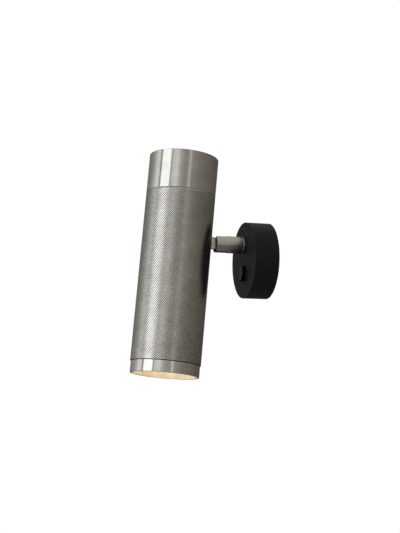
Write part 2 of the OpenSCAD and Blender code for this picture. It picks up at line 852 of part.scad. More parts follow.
// Two long screws from below the lampholder into the bracket
module holder_screws() {
    seat = holder_z + holder_sink;
    color("silver") in_head() for (side = [-1, 1]) translate([0, side * holder_screw_y, 0]) difference() {
        union() {
            translate([0, 0, seat]) cylinder(r = small_screw_r, h = shelf_z + bracket_t + rim_edge - seat);
            translate([0, 0, seat - pan_head_h]) cylinder(r = pan_head_r, h = pan_head_h);
        }
        translate([0, 0, seat - pan_head_h - overrun]) post(2 * pan_head_r, key_r, overrun + key_r);
    }
}

// Contact discs at the roofs of the lampholder's wells
module holder_contacts() {
    foot = pin_len + open_gap;
    color("gold") in_head() for (side = [-1, 1]) translate([side * pin_gap / 2, 0, holder_z + foot])
        cylinder(r = contact_r, h = pin_cavity_h - foot - slip);
}

// Body of the lamp, open for the lens at its face
module lamp_body() {
    lens_r = lens_r_share * lamp_r;
    color("gainsboro") in_head() translate([0, 0, lamp_face_z]) difference() {
        rotate_extrude() polygon([
            [0, 0], [lamp_r - rim_edge, 0], [lamp_r, rim_edge], [lamp_r, lamp_rim_h],
            [lamp_neck_r, lamp_neck_share * lamp_len],
            [lamp_base_r, lamp_base_share * lamp_len],
            [lamp_base_r, lamp_len], [0, lamp_len]
        ]);
        translate([0, 0, -overrun]) cylinder(r = lens_r + slip, h = lens_t + slip + overrun);
    }
}

// The two pins of the lamp, each with a wide head
module lamp_pins() {
    color("silver") in_head() for (side = [-1, 1]) translate([side * pin_gap / 2, 0, lamp_rear_z]) {
        cylinder(r = pin_r, h = pin_len);
        translate([0, 0, pin_len - pin_head_h]) cylinder(r = pin_head_r, h = pin_head_h);
    }
}

// Frosted lens of the lamp
module lamp_lens() {
    color("lightyellow") in_head() translate([0, 0, lamp_face_z])
        cylinder(r = lens_r_share * lamp_r, h = lens_t);
}

// Ring that centres the lamp in the tube and covers its edge
module centring_ring() {
    color("black") in_head() translate([0, 0, lamp_face_z - slip - ring_face_t]) difference() {
        cylinder(r = tube_bore_r - 2 * slip, h = ring_face_t + slip + ring_band_h);
        translate([0, 0, -overrun]) cylinder(r = ring_window_r, h = ring_face_t + 2 * overrun);
        translate([0, 0, ring_face_t])
            cylinder(r = lamp_r + 2 * slip, h = ring_band_h + overrun);
    }
}

// Plain tube that everything in the head is fixed to
module lamp_tube() {
    foot = mouth_z + ring_lip + slip;
    color("tan") in_head() difference() {
        translate([0, 0, foot]) ring(inner_tube_r, tube_bore_r, top_z - cap_t - slip - foot);
        along_y(tongue_r + slip, 0, 2 * tube_r);
        for (side = [-1, 1])
            along_y(small_screw_r + thread_gap, 0, 2 * tube_r, side * saddle_screw_z);
    }
}

// Sleeve whose outside is knurled; it slides over the lamp tube
module knurled_sleeve() {
    foot = ring_top_z + slip;
    color("darkgray") in_head() difference() {
        translate([0, 0, foot]) bevelled_tube(tube_r, band_z - slip - foot);
        along_y(tongue_r + 2 * slip, 0, 2 * tube_r);
    }
}

// A tube with the sleeve's bore and a small bevel at both ends of its outside
module bevelled_tube(r, h) {
    difference() {
        union() {
            cylinder(r1 = r - edge, r2 = r, h = edge);
            translate([0, 0, edge]) cylinder(r = r, h = h - 2 * edge);
            translate([0, 0, h - edge]) cylinder(r1 = r, r2 = r - edge, h = edge);
        }
        translate([0, 0, -overrun]) cylinder(r = sleeve_bore_r, h = h + 2 * overrun);
    }
}

// Bare ring screwed over the end of the lamp tube
module mouth_ring() {
    color("silver") in_head() translate([0, 0, mouth_z]) difference() {
        union() {
            cylinder(r1 = ring_r - edge, r2 = ring_r, h = edge);
            translate([0, 0, edge]) cylinder(r = ring_r, h = ring_h - edge);
        }
        translate([0, 0, -overrun]) cylinder(r = tube_bore_r, h = ring_h);
        translate([0, 0, ring_lip]) cylinder(r = inner_tube_r + slip, h = ring_h);
    }
}

// Top cap, whose skirt is the plain band
module top_cap() {
    color("silver") in_head() translate([0, 0, band_z]) difference() {
        union() {
            cylinder(r1 = tube_r - edge, r2 = tube_r, h = edge);
            translate([0, 0, edge]) cylinder(r = tube_r, h = band_h - edge - rim_edge);
            translate([0, 0, band_h - rim_edge])
                cylinder(r1 = tube_r, r2 = tube_r - rim_edge, h = rim_edge);
        }
        translate([0, 0, -overrun]) cylinder(r = sleeve_bore_r, h = band_h - cap_t + overrun);
    }
}

// The two leads from the hinge to the lampholder
module head_leads() {
    color("ivory") in_head() for (side = [-1, 1])
        lead([
            [0, lead_tail_y, side * lead_offset],
            [0, lead_clear_y, side * lead_offset],
            [side * pin_gap / 2, 0, lead_above],
            [side * pin_gap / 2, 0, lead_foot_z]
        ], [4, 0, 1]);
}

wall_plate();
cable_grommet();
canopy();
canopy_screws();
arm_collar();
terminal_block();
terminal_barrels();
terminal_screws();
block_screw();
earth_tag();
earth_screw();
switch_bezel();
switch_housing();
switch_blades();
live_leads();
neutral_lead();
earth_lead();
rocker();
arm();
stop_washer();
disc_spring();
arm_nut();
pivot_screw();
pivot_washers();
arm_leads();
hinge_tongue();
tongue_screws();
holder_bracket();
holder_screws();
lamp_holder();
holder_contacts();
lamp_body();
lamp_pins();
lamp_lens();
centring_ring();
lamp_tube();
knurled_sleeve();
mouth_ring();
top_cap();
head_leads();
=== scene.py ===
"""Tube wall light: its looks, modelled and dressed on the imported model, in metres."""

import logging
import math
from dataclasses import dataclass
from enum import Enum
from typing import Callable, Sequence

import bmesh
import bpy
from mathutils import Matrix, Vector


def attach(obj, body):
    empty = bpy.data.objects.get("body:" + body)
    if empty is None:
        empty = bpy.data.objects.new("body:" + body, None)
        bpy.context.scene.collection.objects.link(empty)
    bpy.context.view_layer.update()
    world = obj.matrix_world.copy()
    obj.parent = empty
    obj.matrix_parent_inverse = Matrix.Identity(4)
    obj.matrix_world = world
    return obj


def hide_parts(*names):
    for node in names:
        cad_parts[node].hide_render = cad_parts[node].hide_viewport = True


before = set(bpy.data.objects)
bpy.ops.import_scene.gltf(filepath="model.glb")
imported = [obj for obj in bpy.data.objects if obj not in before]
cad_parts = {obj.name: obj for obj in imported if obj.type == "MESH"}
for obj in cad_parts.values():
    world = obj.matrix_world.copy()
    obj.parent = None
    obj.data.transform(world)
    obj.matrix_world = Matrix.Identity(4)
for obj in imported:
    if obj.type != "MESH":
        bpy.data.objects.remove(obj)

LOG = logging.getLogger("tube_wall_light")
MM = 0.001
Profile = Sequence[tuple[float, float]]

# Where the head, the arm and the canopy are made before they are put in place
HINGE = Vector((0, -42, 13.3)) * MM
HINGE_TO_AXIS = 39.8
REST_TILT = 5.46
OFF_WALL = Matrix.Rotation(math.radians(90), 4, "X")
ARM = Matrix.Translation((0, 0, 13.3 * MM)) @ OFF_WALL
HEAD = (
    Matrix.Translation(HINGE)
    @ Matrix.Rotation(math.radians(-REST_TILT), 4, "X")
    @ Matrix.Translation((0, -HINGE_TO_AXIS * MM, 0))
)


# --------------------------------------------------------------------------- modelling by hand


def deselect() -> None:
    """Leaves edit mode and lets go of everything, the CAD nodes too."""
    if bpy.context.object is not None and bpy.context.object.mode != "OBJECT":
        bpy.ops.object.mode_set(mode="OBJECT")
    bpy.ops.object.select_all(action="DESELECT")


def activate(piece: bpy.types.Object) -> None:
    """Makes one piece the only selected and the active one."""
    deselect()
    piece.select_set(True)
    bpy.context.view_layer.objects.active = piece


def edit(piece: bpy.types.Object, select: bool = True) -> None:
    """Opens a piece in edit mode with all of it, or none of it, selected."""
    activate(piece)
    bpy.ops.object.mode_set(mode="EDIT")
    bpy.ops.mesh.select_all(action="SELECT" if select else "DESELECT")


def pick_faces(piece: bpy.types.Object, test: Callable[[bmesh.types.BMFace], bool]) -> int:
    """Selects the faces that pass a test on their place or normal, in edit mode.

    Args:
        piece: the object in edit mode.
        test: says of a face whether it is wanted.

    Returns:
        How many faces are selected.
    """
    bpy.ops.mesh.select_mode(type="FACE")
    bpy.ops.mesh.select_all(action="DESELECT")
    mesh = bmesh.from_edit_mesh(piece.data)
    found = [face for face in mesh.faces if test(face)]
    for face in found:
        face.select_set(True)
    bmesh.update_edit_mesh(piece.data)
    return len(found)


def pick_edges(piece: bpy.types.Object, test: Callable[[bmesh.types.BMEdge], bool]) -> int:
    """Selects the edges that pass a test, in edit mode.

    Args:
        piece: the object in edit mode.
        test: says of an edge whether it is wanted.

    Returns:
        How many edges are selected.
    """
    bpy.ops.mesh.select_mode(type="EDGE")
    bpy.ops.mesh.select_all(action="DESELECT")
    mesh = bmesh.from_edit_mesh(piece.data)
    found = [line for line in mesh.edges if test(line)]
    for line in found:
        line.select_set(True)
    bmesh.update_edit_mesh(piece.data)
    return len(found)


def finish_mesh(piece: bpy.types.Object, merge_mm: float = 0.001) -> None:
    """Merges the doubles of a piece and turns all of its faces outwards."""
    edit(piece)
    bpy.ops.mesh.remove_doubles(threshold=merge_mm * MM)
    bpy.ops.mesh.normals_make_consistent(inside=False)
    bpy.ops.object.mode_set(mode="OBJECT")


def apply_modifier(piece: bpy.types.Object, kind: str, **settings: object) -> None:
    """Adds one modifier with its settings and applies it.

    Args:
        piece: the object to change.
        kind: the type of the modifier.
        settings: its settings by name.
    """
    activate(piece)
    modifier = piece.modifiers.new(kind.title(), kind)
    for name, value in settings.items():
        setattr(modifier, name, value)
    bpy.ops.object.modifier_apply(modifier=modifier.name)


def place(piece: bpy.types.Object, where: Matrix) -> None:
    """Puts a piece where it belongs and moves its place into its mesh."""
    activate(piece)
    piece.matrix_world = where @ piece.matrix_world
    bpy.ops.object.transform_apply(location=True, rotation=True, scale=True)


def soften(piece: bpy.types.Object, width_mm: float, segments: int = 3, smooth_deg: float = 40) -> None:
    """Rounds the sharp edges of a piece and shades it so that its flats stay flat.

    Args:
        piece: the object to change.
        width_mm: width of the rounding.
        segments: steps of the rounding.
        smooth_deg: the angle past which an edge stays sharp.
    """
    if width_mm > 0:
        apply_modifier(
            piece, "BEVEL", width=width_mm * MM, segments=segments,
            limit_method="ANGLE", angle_limit=math.radians(smooth_deg), use_clamp_overlap=True,
        )
    activate(piece)
    bpy.ops.object.shade_smooth_by_angle(angle=math.radians(smooth_deg))
    apply_modifier(piece, "WEIGHTED_NORMAL", mode="FACE_AREA", weight=100, keep_sharp=True)


def turned(name: str, profile: Profile, sides: int = 192, close_start: bool = False,
           close_end: bool = False) -> bpy.types.Object:
    """Turns a piece on a lathe: a ring that is extruded and scaled along its profile.

    Args:
        name: the name of the piece.
        profile: radius and height of each ring, in mm.
        sides: how many sides a ring has.
        close_start: whether the first ring is filled.
        close_end: whether the last ring is filled.

    Returns:
        The piece, with its axis along Z.
    """
    deselect()
    radius, height = profile[0]
    bpy.ops.mesh.primitive_circle_add(
        vertices=sides, radius=radius * MM, location=(0, 0, height * MM),
        fill_type="NGON" if close_start else "NOTHING",
    )
    piece = bpy.context.object
    piece.name = name
    bpy.ops.object.mode_set(mode="EDIT")
    bpy.ops.mesh.select_all(action="DESELECT")
    bpy.ops.mesh.select_mode(type="EDGE")
    bpy.ops.mesh.select_all(action="SELECT")
    for (r0, z0), (r1, z1) in zip(profile, profile[1:]):
        bpy.ops.mesh.extrude_edges_move(TRANSFORM_OT_translate={"value": (0, 0, (z1 - z0) * MM)})
        if r1 != r0:
            bpy.ops.transform.resize(value=(r1 / r0, r1 / r0, 1), center_override=(0, 0, z1 * MM))
    if close_end:
        bpy.ops.mesh.edge_face_add()
    bpy.ops.object.mode_set(mode="OBJECT")
    bpy.ops.object.transform_apply(location=True, rotation=True, scale=True)
    finish_mesh(piece)
    return piece


def bar(name: str, size: tuple[float, float, float], centre: tuple[float, float, float]) -> bpy.types.Object:
    """A block of a size, at a place, both in mm, as stock to cut with or to shape."""
    deselect()
    bpy.ops.mesh.primitive_cube_add(size=1, location=tuple(c * MM for c in centre))
    piece = bpy.context.object
    piece.name = name
    piece.scale = tuple(s * MM for s in size)
    bpy.ops.object.transform_apply(location=True, rotation=True, scale=True)
    return piece


def rod(name: str, radius: float, start: Vector, end: Vector, sides: int = 64) -> bpy.types.Object:
    """A round rod between two points in mm, as stock to cut with or to shape."""
    deselect()
    along = end - start
    bpy.ops.mesh.primitive_cylinder_add(
        vertices=sides, radius=radius * MM, depth=along.length * MM,
        location=(start + end) / 2 * MM, rotation=along.to_track_quat("Z", "Y").to_euler(),
    )
    piece = bpy.context.object
    piece.name = name
    bpy.ops.object.transform_apply(location=True, rotation=True, scale=True)
    return piece


def cut(piece: bpy.types.Object, tool: bpy.types.Object, how: str = "DIFFERENCE") -> None:
    """Cuts a piece with a tool, or joins the two, and throws the tool away."""
    apply_modifier(piece, "BOOLEAN", operation=how, object=tool, solver="EXACT")
    bpy.data.objects.remove(tool, do_unlink=True)


# --------------------------------------------------------------------------- finishes


def linear(colour: str) -> tuple[float, float, float, float]:
    """Turns an sRGB hex value to the linear colour that a shader takes."""
    parts = [int(colour[i:i + 2], 16) / 255 for i in (1, 3, 5)]
    return (*[c / 12.92 if c <= 0.04045 else ((c + 0.055) / 1.055) ** 2.4 for c in parts], 1.0)


def add_node(material: bpy.types.Material, kind: str, inputs: dict[int | str, object] | None = None,
             **settings: object) -> bpy.types.ShaderNode:
    """Adds a node with its settings, its input values and its links.

    Args:
        material: the material that gets the node.
        kind: the type of the node.
        inputs: a value, or the socket that feeds it, for each input by name or number.
        settings: the node's own settings by name.

    Returns:
        The node.
    """
    tree = material.node_tree
    new = tree.nodes.new(kind)
    for name, value in settings.items():
        setattr(new, name, value)
    for key, value in (inputs or {}).items():
        if isinstance(value, bpy.types.NodeSocket):
            tree.links.new(value, new.inputs[key])
        else:
            new.inputs[key].default_value = value
    return new


class Grain(Enum):
    """How the marks of a surface lie."""

    ROUND = "round the axis, as a lathe tool leaves them"
    ALONG = "along the axis, as a drawing die leaves them"
    EVEN = "the same in every direction"


@dataclass(frozen=True)
class Finish:
    """One finish: what the material is, and the marks that its making left.

    The grain sizes are in mm: `fine` is the pitch of the marks and `long` is their length.
    """

    name: str
    colour: str
    shade: str
    metallic: float
    roughness: float
    fine: float
    long: float
    depth: float
    grain: Grain = Grain.EVEN
    axis: Matrix = Matrix.Identity(4)
    ior: float = 1.5
    rough_play: float = 0.05
    specular: float = 0.5
    coat: float = 0.0
    glow: float = 0.0
    glow_colour: str = "#FFFFFF"
    # Painted shade: a dark colour laid into the knurl's grooves by radius, standing in for their shadow
    groove_shade: str = ""
    groove_radius: tuple[float, float] = (0.0, 0.0)
    groove_rough: float = 0.6

    def coordinates(self, material: bpy.types.Material) -> bpy.types.NodeSocket:
        """Coordinates in marks: one unit is one mark wide and one mark long.

        Args:
            material: the material that is being made.

        Returns:
            The vector to feed a texture with.
        """
        where, turn, _ = self.axis.decompose()
        place_ = add_node(material, "ShaderNodeTexCoord")
        local = add_node(
            material, "ShaderNodeMapping", {0: place_.outputs["Object"], 1: where, 2: turn.to_euler()},
            vector_type="TEXTURE",
        )
        if self.grain is not Grain.ROUND:
            size = (self.fine, self.fine, self.long)
            return add_node(
                material, "ShaderNodeVectorMath", {0: local.outputs[0], 1: [1 / (s * MM) for s in size]},
                operation="MULTIPLY",
            ).outputs[0]
        flat = add_node(
            material, "ShaderNodeVectorMath", {0: local.outputs[0], 1: (1, 1, 0)}, operation="MULTIPLY"
        )
        radius = add_node(material, "ShaderNodeVectorMath", {0: flat.outputs[0]}, operation="LENGTH")
        parts = add_node(material, "ShaderNodeSeparateXYZ", {0: local.outputs[0]})
        travel = add_node(
            material, "ShaderNodeMath", {0: parts.outputs[2], 1: radius.outputs["Value"]}, operation="ADD"
        )
        joined = add_node(
            material, "ShaderNodeCombineXYZ", {0: parts.outputs[0], 1: parts.outputs[1], 2: travel.outputs[0]}
        )
        size = (self.long, self.long, self.fine)
        return add_node(
            material, "ShaderNodeVectorMath", {0: joined.outputs[0], 1: [1 / (s * MM) for s in size]},
            operation="MULTIPLY",
        ).outputs[0]

    def crests(self, material: bpy.types.Material) -> bpy.types.NodeSocket:
        """How far a point stands out of the grooves round the axis: 0 in them and 1 on the crests; the mask of the
        painted groove shade.
        """
        where, turn, _ = self.axis.decompose()
        place_ = add_node(material, "ShaderNodeTexCoord")
        local = add_node(
            material, "ShaderNodeMapping", {0: place_.outputs["Object"], 1: where, 2: turn.to_euler()},
            vector_type="TEXTURE",
        )
        flat = add_node(
            material, "ShaderNodeVectorMath", {0: local.outputs[0], 1: (1, 1, 0)}, operation="MULTIPLY"
        )
        radius = add_node(material, "ShaderNodeVectorMath", {0: flat.outputs[0]}, operation="LENGTH")
        low, high = (r * MM for r in self.groove_radius)
        crest = add_node(material, "ShaderNodeMapRange", {0: radius.outputs["Value"], 1: low, 2: high})
        return crest.outputs[0]

    def build(self) -> bpy.types.Material:
        """Makes the material of this finish.

        Returns:
            The material, with its marks in colour, roughness and bump.
        """
        material = bpy.data.materials.new(self.name)
        material.use_nodes = True
        material.node_tree.nodes.clear()
        marks = add_node(
            material, "ShaderNodeTexNoise",
            {"Vector": self.coordinates(material), "Scale": 1.0, "Detail": 3.0, "Roughness": 0.6},
        )
        place_ = add_node(material, "ShaderNodeTexCoord")
        clouds = add_node(
            material, "ShaderNodeTexNoise",
            {"Vector": place_.outputs["Object"], "Scale": 1 / (14 * MM), "Detail": 2.0},
        )
        both = add_node(
            material, "ShaderNodeMath", {0: marks.outputs[0], 1: clouds.outputs[0]}, operation="MULTIPLY"
        )
        share = add_node(
            material, "ShaderNodeMapRange", {0: both.outputs[0], 1: 0.12, 2: 0.4, 3: 0.0, 4: 1.0}
        )
        tint = add_node(
            material, "ShaderNodeMix",
            {0: share.outputs[0], 6: linear(self.shade), 7: linear(self.colour)}, data_type="RGBA",
        )
        colour = tint.outputs[2]
        rough = add_node(
            material, "ShaderNodeMapRange",
            {0: marks.outputs[0], 1: 0.25, 2: 0.75, 3: self.roughness - self.rough_play / 2,
             4: self.roughness + self.rough_play / 2},
        ).outputs[0]
        # Painted shade in the knurl's grooves: the colour darkens to the groove shade towards the groove radius
        if self.groove_shade:
            crest = self.crests(material)
            colour = add_node(
                material, "ShaderNodeMix", {0: crest, 6: linear(self.groove_shade), 7: colour}, data_type="RGBA"
            ).outputs[2]
            rough = add_node(
                material, "ShaderNodeMix", {0: crest, 2: self.groove_rough, 3: rough}
            ).outputs[0]
        bump = add_node(
            material, "ShaderNodeBump",
            {"Strength": 1.0, "Distance": self.depth * MM, "Height": marks.outputs[0]},
        )
        inputs: dict[int | str, object] = {
            "Base Color": colour, "Metallic": self.metallic, "Roughness": rough,
            "Normal": bump.outputs[0], "Coat Weight": self.coat,
        }
        if self.metallic < 0.5:
            inputs["IOR"] = self.ior
            inputs["Specular IOR Level"] = self.specular
        if self.glow > 0:
            inputs["Emission Color"] = linear(self.glow_colour)
            inputs["Emission Strength"] = self.glow
        shader = add_node(material, "ShaderNodeBsdfPrincipled", inputs)
        add_node(material, "ShaderNodeOutputMaterial", {0: shader.outputs[0]})
        return material


# Turned and brushed brass, nickel plated: warm grey, crisp stripes along the tube
TURNED_NICKEL = Finish(
    "turned_brushed_nickel", "#BDB7AE", "#ADA79E", 1.0, 0.115, 0.35, 24, 0.0012,
    grain=Grain.ROUND, axis=HEAD,
)
# The same metal with its knurl rolled in: bright crests, painted shade in the grooves (a dark, rough colour by
# radius), a soft glint
KNURLED_NICKEL = Finish(
    "knurled_nickel", "#D8D2C7", "#C8C1B6", 1.0, 0.16, 0.6, 0.6, 0.001, axis=HEAD,
    groove_shade="#2C2A26", groove_radius=(29.97, 29.998), groove_rough=0.9,
)
# Satin turned bar of the arm
SATIN_NICKEL = Finish(
    "satin_turned_nickel", "#B9B2A8", "#ABA499", 1.0, 0.26, 0.4, 14, 0.0015,
    grain=Grain.ROUND, axis=ARM,
)
# Milled fork and tongue: short marks across
MILLED_NICKEL = Finish(
    "milled_nickel", "#B9B2A8", "#A69F94", 1.0, 0.26, 0.3, 6, 0.0015, grain=Grain.ALONG, axis=OFF_WALL,
)
# The slot and the ends of the fork: milled, with painted shade: a dark colour where the gap by the tongue lies in
# shadow
SHADED_FORK = Finish(
    "fork_painted_shade", "#4E4A44", "#3C3934", 1.0, 0.42, 0.3, 6, 0.0015, grain=Grain.ALONG, axis=OFF_WALL,
)
# Drawn aluminium tube, dull inside: spreads the lamp's light into an even warm glow at the mouth
DRAWN_TUBE = Finish(
    "drawn_aluminium_tube", "#E2DED6", "#D0C9BC", 1.0, 0.8, 0.5, 18, 0.004, grain=Grain.ALONG, axis=HEAD,
)
# Powder coat: matte black with a fine orange peel
POWDER_COAT = Finish(
    "black_powder_coat", "#1B1B1D", "#151517", 0.0, 0.55, 0.5, 0.5, 0.008, rough_play=0.1,
    specular=0.14,
)
# Polished ABS rocker
GLOSS_ABS = Finish("gloss_black_abs", "#0E0E0E", "#0A0A0A", 0.0, 0.4, 1.2, 1.2, 0.001, specular=0.16)
# The sides of the rocker: matte, with painted shade, a near black colour, so the key stands out
ROCKER_SIDE_SHADE = Finish("rocker_sides_painted_shade", "#060606", "#040404", 0.0, 0.6, 0.3, 0.3, 0.003, specular=0.05)
# Spark eroded polyamide of the switch
BLACK_NYLON = Finish("black_moulded_nylon", "#161616", "#101010", 0.0, 0.5, 0.25, 0.25, 0.006, specular=0.2)
# Nitrile grommet
RUBBER = Finish("black_nitrile_rubber", "#1A1A1A", "#121212", 0.0, 0.72, 0.4, 0.4, 0.01, ior=1.52)
# Bright zinc on pressed steel
ZINC = Finish("zinc_plated_steel", "#C9CCCE", "#A9ADB2", 1.0, 0.3, 0.8, 0.8, 0.003)
# Blued spring strip
BLUED_SPRING = Finish("blued_spring_steel", "#5A6470", "#3E434C", 1.0, 0.28, 0.4, 5, 0.002, grain=Grain.ALONG)
# Black oxide on a steel screw
BLACK_OXIDE = Finish("black_oxide_steel", "#2E2E30", "#1F1F21", 1.0, 0.42, 0.2, 0.2, 0.002)
# Bare machined brass
BRASS = Finish("machined_brass", "#D2A956", "#B58C3E", 1.0, 0.28, 0.2, 2, 0.002, grain=Grain.ALONG)
# Tinned copper of the lugs
TINNED = Finish("tinned_copper", "#C9C4BA", "#AFA89A", 1.0, 0.34, 0.3, 0.3, 0.003)
# Natural polyamide of the terminal block
WHITE_NYLON = Finish("white_moulded_nylon", "#E4E1D6", "#D6D2C4", 0.0, 0.42, 0.3, 0.3, 0.004)
# Acetal washers
ACETAL = Finish("natural_acetal", "#E0DCCB", "#D2CDB9", 0.0, 0.38, 0.3, 0.3, 0.003, ior=1.48)
# Unglazed steatite lampholder
STEATITE = Finish("unglazed_steatite", "#E7E2D3", "#D5CDB9", 0.0, 0.62, 0.35, 0.35, 0.01, ior=1.55)
# Wire sleeves of PVC
BROWN_PVC = Finish("brown_pvc_sleeve", "#5B3620", "#4A2A18", 0.0, 0.4, 0.6, 0.6, 0.003)
BLUE_PVC = Finish("blue_pvc_sleeve", "#2A62AD", "#1F4F95", 0.0, 0.4, 0.6, 0.6, 0.003)
GREEN_PVC = Finish("green_yellow_pvc_sleeve", "#E0CE26", "#2E8B36", 0.0, 0.4, 1.4, 1.4, 0.003)
# Silicone rubber sleeve of the leads near the lamp
SILICONE = Finish("white_silicone_sleeve", "#DEDACF", "#CDC8BA", 0.0, 0.5, 0.5, 0.5, 0.004, ior=1.43)
# White thermoplastic body of the lamp
LAMP_BODY = Finish("white_lamp_body", "#E6E4DE", "#DAD7CE", 0.0, 0.4, 0.4, 0.4, 0.003)
# Opal polycarbonate lens, lit warm white
LIT_LENS = Finish(
    "lit_opal_lens", "#F4E6C4", "#EEDDB4", 0.0, 0.35, 0.5, 0.5, 0.004, ior=1.58, glow=5.8,
    glow_colour="#FFEBC9",
)


# --------------------------------------------------------------------------- the head


@dataclass
class TubeHead:
    """The knurled tube with its cap, its ring at the mouth and its lens, sizes in mm."""

    radius: float = 30.0
    sleeve_bore: float = 28.6
    tube_bore: float = 27.35
    ring_radius: float = 29.37
    top: float = 71.3
    band: float = 37.8
    ring_top: float = -108.8
    mouth: float = -118.7
    lamp_face: float = -92.7
    cap_thickness: float = 2.5
    ring_lip: float = 3.0
    lens_radius: float = 22.5
    fit: float = 0.05
    diamonds: int = 96
    row_stretch: float = 1.01
    knurl_depth: float = 0.06
    flat_share: float = 0.62
    knurl_smooth: float = 42
    foot_chamfer: tuple[float, float] = (0.35, 0.35)
    head_chamfer: tuple[float, float] = (0.35, 0.9)

    def knurled_sleeve(self) -> bpy.types.Object:
        """One raised diamond, copied round and up the sleeve, then trimmed and given its bore.

        Returns:
            The sleeve, in its place.
        """
        foot, head = self.ring_top + self.fit, self.band - self.fit
        half = math.pi / self.diamonds
        valley = self.radius - self.knurl_depth
        pitch = 2 * valley * math.tan(half)
        rows = round((head - foot) / (pitch * self.row_stretch))
        row = (head - foot) / rows
        deselect()
        bpy.ops.mesh.primitive_circle_add(
            vertices=4, radius=pitch / 2 * MM, fill_type="NGON",
            location=(valley * MM, 0, foot * MM), rotation=(0, math.pi / 2, 0),
        )
        piece = bpy.context.object
        piece.name = "knurled_sleeve_metal"
        bpy.ops.object.transform_apply(location=True, rotation=True, scale=True)
        edit(piece)
        bpy.ops.mesh.select_mode(type="FACE")
        bpy.ops.mesh.select_all(action="SELECT")
        bpy.ops.transform.resize(value=(1, 1, row / pitch), center_override=(valley * MM, 0, foot * MM))
        wide = pitch / 2 / math.sqrt(2)
        bpy.ops.mesh.inset(thickness=wide * (1 - self.flat_share) * MM, depth=0)
        bpy.ops.transform.translate(value=(self.knurl_depth * MM, 0, 0))
        bpy.ops.mesh.select_all(action="SELECT")
        bpy.ops.mesh.duplicate_move(TRANSFORM_OT_translate={"value": (0, 0, row / 2 * MM)})
        bpy.ops.transform.rotate(value=half, orient_axis="Z", center_override=(0, 0, 0))
        deselect()
        bpy.ops.object.empty_add(location=(0, 0, 0), rotation=(0, 0, 2 * half))
        step = bpy.context.object
        bpy.context.view_layer.update()
        apply_modifier(
            piece, "ARRAY", count=rows + 1, use_relative_offset=False, use_constant_offset=True,
            constant_offset_displace=(0, 0, row * MM),
        )
        apply_modifier(
            piece, "ARRAY", count=self.diamonds, use_relative_offset=False, use_object_offset=True,
            offset_object=step,
        )
        bpy.data.objects.remove(step, do_unlink=True)
        finish_mesh(piece, merge_mm=0.03)
        edit(piece)
        for height, keep_above in ((foot + self.foot_chamfer[1], True), (head - self.head_chamfer[1], False)):
            bpy.ops.mesh.select_all(action="SELECT")
            bpy.ops.mesh.bisect(
                plane_co=(0, 0, height * MM), plane_no=(0, 0, 1), threshold=1e-6,
                clear_inner=keep_above, clear_outer=not keep_above,
            )
        pick_edges(piece, lambda line: len(line.link_faces) == 1)
        inner = self.radius - self.sleeve_bore
        for foot_in, head_in in ((self.foot_chamfer[0], self.head_chamfer[0]), (inner, inner)):
            bpy.ops.mesh.extrude_edges_move(TRANSFORM_OT_translate={"value": (0, 0, 0)})
            mesh = bmesh.from_edit_mesh(piece.data)
            for point in mesh.verts:
                if point.select:
                    end, inset = (head, head_in) if point.co.z > 0 else (foot, foot_in)
                    scale = (self.radius - inset) * MM / point.co.xy.length
                    point.co = (point.co.x * scale, point.co.y * scale, end * MM)
            bmesh.update_edit_mesh(piece.data)
        bpy.ops.mesh.bridge_edge_loops()
        finish_mesh(piece)
        activate(piece)
        bpy.ops.object.shade_smooth_by_angle(angle=math.radians(self.knurl_smooth))
        return piece

    def top_cap(self) -> bpy.types.Object:
        """The cap with its plain band as the skirt, open below."""
        piece = turned(
            "top_cap_metal",
            [(self.sleeve_bore, self.top - self.cap_thickness), (self.sleeve_bore, self.band),
             (self.radius, self.band), (self.radius, self.top)],
            sides=2 * self.diamonds, close_start=True, close_end=True,
        )
        soften(piece, 0.35)
        return piece

    def mouth_ring(self) -> bpy.types.Object:
        """The bare ring at the mouth, with the lip that the lamp tube stands on."""
        shelf = self.mouth + self.ring_lip
        piece = turned(
            "mouth_ring_metal",
            [(self.tube_bore, self.mouth), (self.ring_radius, self.mouth),
             (self.ring_radius, self.ring_top), (self.sleeve_bore, self.ring_top),
             (self.sleeve_bore, shelf), (self.tube_bore, shelf), (self.tube_bore, self.mouth)],
            sides=2 * self.diamonds,
        )
        soften(piece, 0.25)
        return piece

    def lens(self) -> bpy.types.Object:
        """The opal lens of the lamp: a shallow dome inside a flat rim."""
        r, face = self.lens_radius, self.lamp_face
        piece = turned(
            "lamp_lens_lit",
            [(r, face + 2), (r, face), (r - 1.2, face), (r - 1.5, face + 0.35), (r * 0.75, face + 0.18),
             (r * 0.45, face + 0.08), (r * 0.15, face + 0.03)],
            sides=96, close_start=True, close_end=True,
        )
        soften(piece, 0, smooth_deg=30)
        return piece

    def build(self) -> None:
        """Makes the pieces of the head, puts them in place and hands them over."""
        metal = TURNED_NICKEL.build()
        for make, node, slot_name, finish in (
            (self.knurled_sleeve, "knurled_sleeve", "knurled_metal", KNURLED_NICKEL.build()),
            (self.top_cap, "top_cap", "brushed_metal", metal),
            (self.mouth_ring, "mouth_ring", "brushed_metal", metal),
            (self.lens, "lamp_lens", "frosted_lens", LIT_LENS.build()),
        ):
            piece = make()
            deliver(piece, HEAD, finish, "head", node)
            if node == "knurled_sleeve":
                edge = (self.band - self.fit - self.head_chamfer[1]) * MM
                dress_inside(piece, HEAD, metal, lambda c, n: c.z > edge)
            if node == "mouth_ring":
                bore = (self.tube_bore + 0.15) * MM
                dress_inside(piece, HEAD, DRAWN_TUBE.build(), lambda c, n: c.xy.length < bore)


# --------------------------------------------------------------------------- the arm


